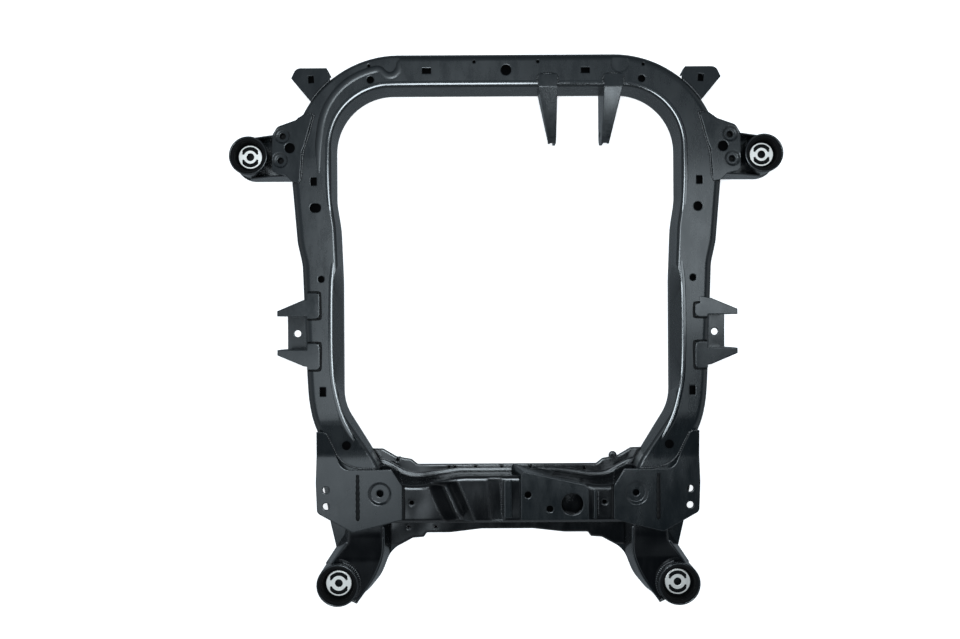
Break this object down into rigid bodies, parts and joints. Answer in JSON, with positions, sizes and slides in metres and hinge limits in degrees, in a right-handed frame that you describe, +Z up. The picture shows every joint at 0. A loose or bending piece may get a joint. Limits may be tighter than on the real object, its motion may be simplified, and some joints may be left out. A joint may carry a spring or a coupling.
{
  "type": "front suspension subframe",
  "caption": "Welded black steel subframe: bent tube frame with rear crossmember, body mount bushes, control arm brackets and torque mount brackets.",
  "frame": {"origin": "on the centreline, midway between the beam's front face and the rear bushes, on the plane the frame rests on", "axes": "+Z up, +Y to the front beam, +X to the side with the torque mount brackets"},
  "size_m": [1.0424, 1.029, 0.078],
  "materials": {
    "tube_paint": "satin black dip coat",
    "shell_paint": "satin black dip coat",
    "plate_paint": "satin black dip coat",
    "sleeve_paint": "gloss black coat",
    "bush_rubber": "matt moulded rubber",
    "bush_aluminium": "bright machined"
  },
  "bodies": {
    "root": {"arm_bracket_base_left": "plate_paint", "arm_bracket_base_right": "plate_paint", "arm_ear_front_left": "plate_paint", "arm_ear_front_right": "plate_paint", "arm_ear_rear_left": "plate_paint", "arm_ear_rear_right": "plate_paint", "bush_core_front_left": "bush_aluminium", "bush_core_front_right": "bush_aluminium", "bush_core_rear_left": "bush_aluminium", "bush_core_rear_right": "bush_aluminium", "bush_rubber_front_left": "bush_rubber", "bush_rubber_front_right": "bush_rubber", "bush_rubber_rear_left": "bush_rubber", "bush_rubber_rear_right": "bush_rubber", "bush_sleeve_front_left": "sleeve_paint", "bush_sleeve_front_right": "sleeve_paint", "bush_sleeve_rear_left": "sleeve_paint", "bush_sleeve_rear_right": "sleeve_paint", "corner_gusset_left": "plate_paint", "corner_gusset_right": "plate_paint", "corner_lower_plate_left": "plate_paint", "corner_lower_plate_right": "plate_paint", "crossmember_lower": "shell_paint", "crossmember_upper": "shell_paint", "front_corner_bracket_left": "plate_paint", "front_corner_bracket_right": "plate_paint", "front_mount_lower_left": "plate_paint", "front_mount_lower_right": "plate_paint", "front_mount_upper_left": "plate_paint", "front_mount_upper_right": "plate_paint", "perimeter_tube": "tube_paint", "rear_leg_upper_left": "shell_paint", "rear_leg_upper_right": "shell_paint", "steering_gear_plate": "plate_paint", "steering_stiffener_left": "plate_paint", "steering_stiffener_right": "plate_paint", "torque_bracket_inner": "plate_paint", "torque_bracket_outer": "plate_paint"}
  },
  "joints": []
}
